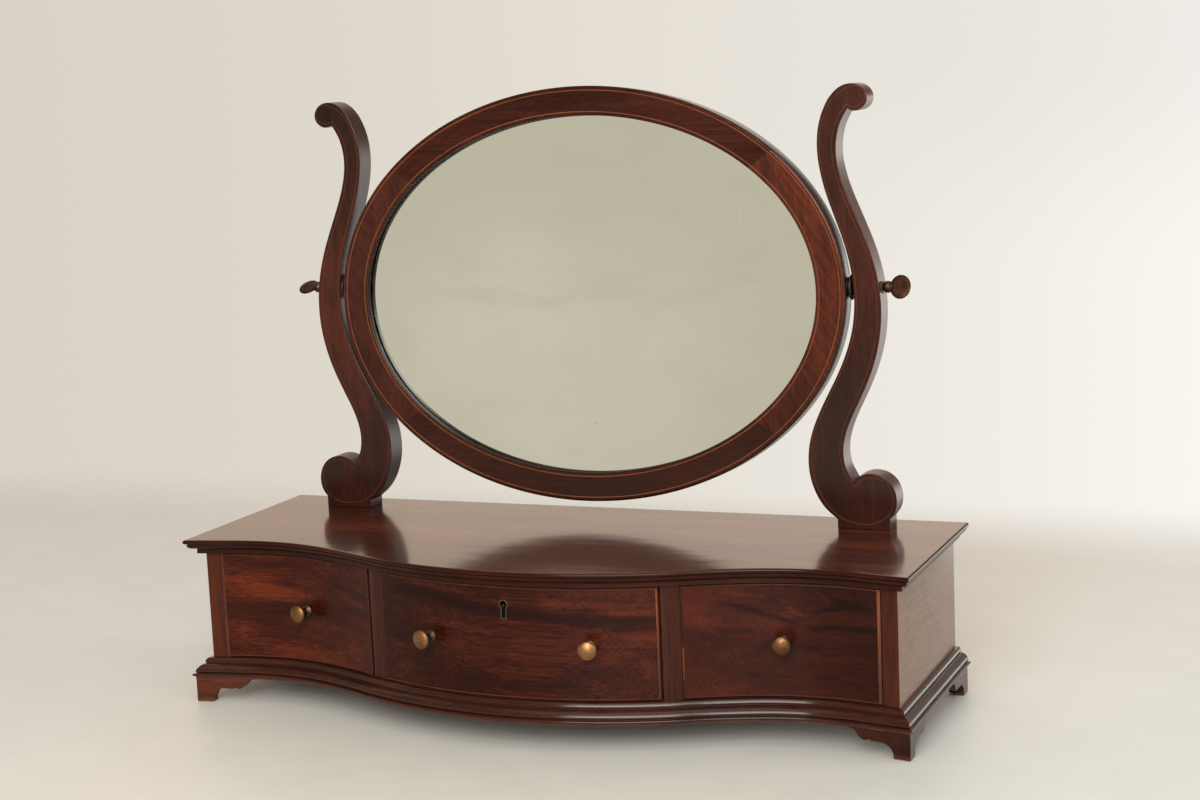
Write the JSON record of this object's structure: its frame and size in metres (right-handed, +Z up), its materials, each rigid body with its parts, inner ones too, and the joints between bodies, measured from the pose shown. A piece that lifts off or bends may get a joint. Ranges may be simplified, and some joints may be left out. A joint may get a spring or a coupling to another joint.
{
  "type": "shaving mirror",
  "caption": "Dressing-table shaving mirror: oval swing glass between scrolled uprights on a serpentine-fronted box of drawers with bracket feet.",
  "frame": {"origin": "centre of the bounding box at the underside of the bracket feet", "axes": "+X to the viewer's right along the width, -Y towards the viewer (drawer fronts), +Z up"},
  "size_m": [0.701, 0.2703, 0.5652],
  "materials": {
    "mahogany": "french polished, ribbon figure, lightly worn",
    "string_wood": "fine inlaid line, polished",
    "lining_wood": "waxed drawer lining",
    "deal": "unpolished secondary wood, toned with age",
    "ebonised_wood": "turned and polished",
    "brass": "aged, rubbed bright on the high spots",
    "screw_steel": "dull, turned",
    "lock_iron": "dark",
    "washer_leather": "thin washer",
    "mirror_glass": "old silvered plate"
  },
  "bodies": {
    "case": {"top_board": "mahogany", "side_panel_left": "mahogany", "side_panel_right": "mahogany", "bottom_board": "deal", "back_board": "deal", "divider_left": "mahogany", "divider_right": "mahogany", "base_moulding_front": "mahogany", "base_moulding_left": "mahogany", "base_moulding_right": "mahogany", "foot_front_left_brackets": "mahogany", "foot_front_right_brackets": "mahogany", "foot_rear_left_brackets": "mahogany", "foot_rear_right_brackets": "mahogany", "foot_glue_blocks": "deal", "drawer_stops": "deal", "upright_left": "mahogany", "upright_right": "mahogany", "upright_left_stringing": "string_wood", "upright_right_stringing": "string_wood", "upright_screws": "screw_steel", "thumbscrew_washers": "washer_leather"},
    "left_drawer": {"drawer_left_front": "mahogany", "drawer_left_sides": "lining_wood", "drawer_left_back": "lining_wood", "drawer_left_bottom": "lining_wood", "drawer_left_stringing": "string_wood", "drawer_left_knob": "brass", "drawer_left_knob_nut": "brass"},
    "center_drawer": {"drawer_center_front": "mahogany", "drawer_center_sides": "lining_wood", "drawer_center_back": "lining_wood", "drawer_center_bottom": "lining_wood", "drawer_center_stringing": "string_wood", "drawer_center_knobs": "brass", "drawer_center_knob_nuts": "brass", "keyhole_escutcheon": "brass", "lock_case": "lock_iron", "lock_screws": "screw_steel"},
    "right_drawer": {"drawer_right_front": "mahogany", "drawer_right_sides": "lining_wood", "drawer_right_back": "lining_wood", "drawer_right_bottom": "lining_wood", "drawer_right_stringing": "string_wood", "drawer_right_knob": "brass", "drawer_right_knob_nut": "brass"},
    "bolt": {"lock_bolt": "brass"},
    "swing_glass": {"frame_segment_top": "mahogany", "frame_segment_bottom": "mahogany", "frame_segment_left": "mahogany", "frame_segment_right": "mahogany", "frame_stringing": "string_wood", "mirror_plate": "mirror_glass", "glazing_blocks": "deal", "backboard": "deal", "backboard_screws": "screw_steel", "pivot_nuts": "brass", "pivot_collars": "ebonised_wood"},
    "left_thumbscrew": {"thumbscrew_left": "brass"},
    "right_thumbscrew": {"thumbscrew_right": "brass"}
  },
  "joints": [
    {"name": "mirror_tilt", "type": "hinge", "parent": "case", "child": "swing_glass", "pos_m": [0, 0.0978, 0.3775], "axis": [1, 0, 0], "continuous": true},
    {"name": "thumbscrew_left_turn", "type": "hinge", "parent": "swing_glass", "child": "left_thumbscrew", "pos_m": [-0.29, 0.0978, 0.3775], "axis": [-1, 0, 0], "range_deg": [0, 180]},
    {"name": "thumbscrew_right_turn", "type": "hinge", "parent": "swing_glass", "child": "right_thumbscrew", "pos_m": [0.29, 0.0978, 0.3775], "axis": [1, 0, 0], "range_deg": [0, 180]},
    {"name": "drawer_left_slide", "type": "slide", "parent": "case", "child": "left_drawer", "axis": [0, -1, 0], "range_m": [0, 0.135]},
    {"name": "drawer_center_slide", "type": "slide", "parent": "case", "child": "center_drawer", "axis": [0, -1, 0], "range_m": [0, 0.165]},
    {"name": "drawer_right_slide", "type": "slide", "parent": "case", "child": "right_drawer", "axis": [0, -1, 0], "range_m": [0, 0.135]},
    {"name": "lock_bolt_slide", "type": "slide", "parent": "center_drawer", "child": "bolt", "axis": [0, 0, 1], "range_m": [0, 0.0045]}
  ]
}
